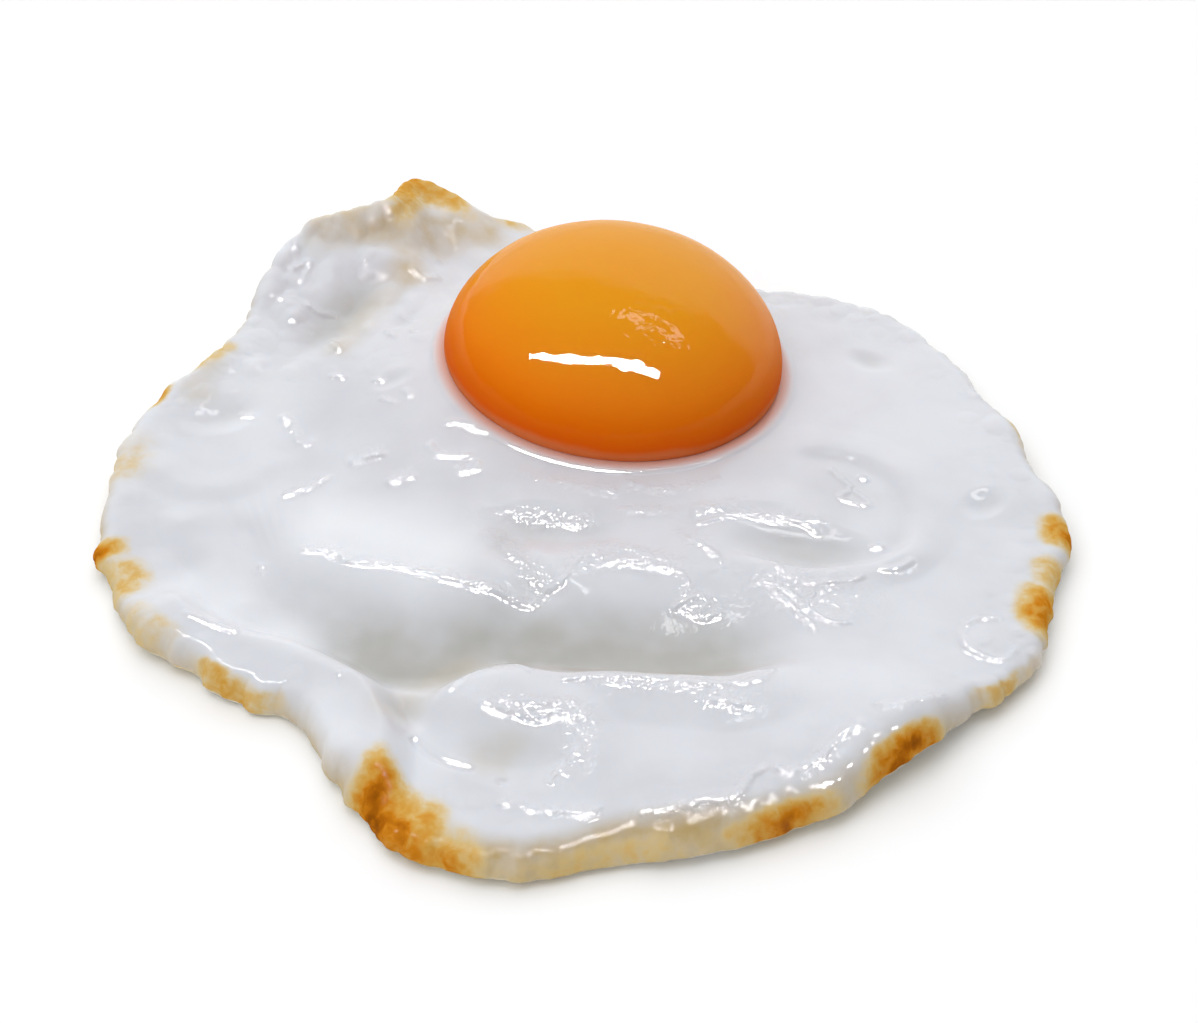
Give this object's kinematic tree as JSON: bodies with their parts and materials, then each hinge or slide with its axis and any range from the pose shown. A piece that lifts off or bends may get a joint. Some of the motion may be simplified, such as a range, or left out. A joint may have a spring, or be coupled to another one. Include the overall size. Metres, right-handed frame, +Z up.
{
  "type": "fried egg",
  "caption": "Fried egg, sunny side up: a domed yolk set in a thin, folded sheet of cooked white with a curled, browned edge.",
  "frame": {"origin": "on the surface it rests on, under the middle of the outline of the white", "axes": "+Z up, out of the yolk's crown; +Y to the back, where the yolk lies; +X to the right seen from the front"},
  "size_m": [0.1152, 0.1204, 0.0221],
  "materials": {
    "cooked_white": "wet, milky egg white, browned in patches along its edge",
    "yolk": "smooth, wet, deep orange-yellow"
  },
  "bodies": {
    "root": {"white": "cooked_white", "yolk": "yolk"}
  },
  "joints": []
}
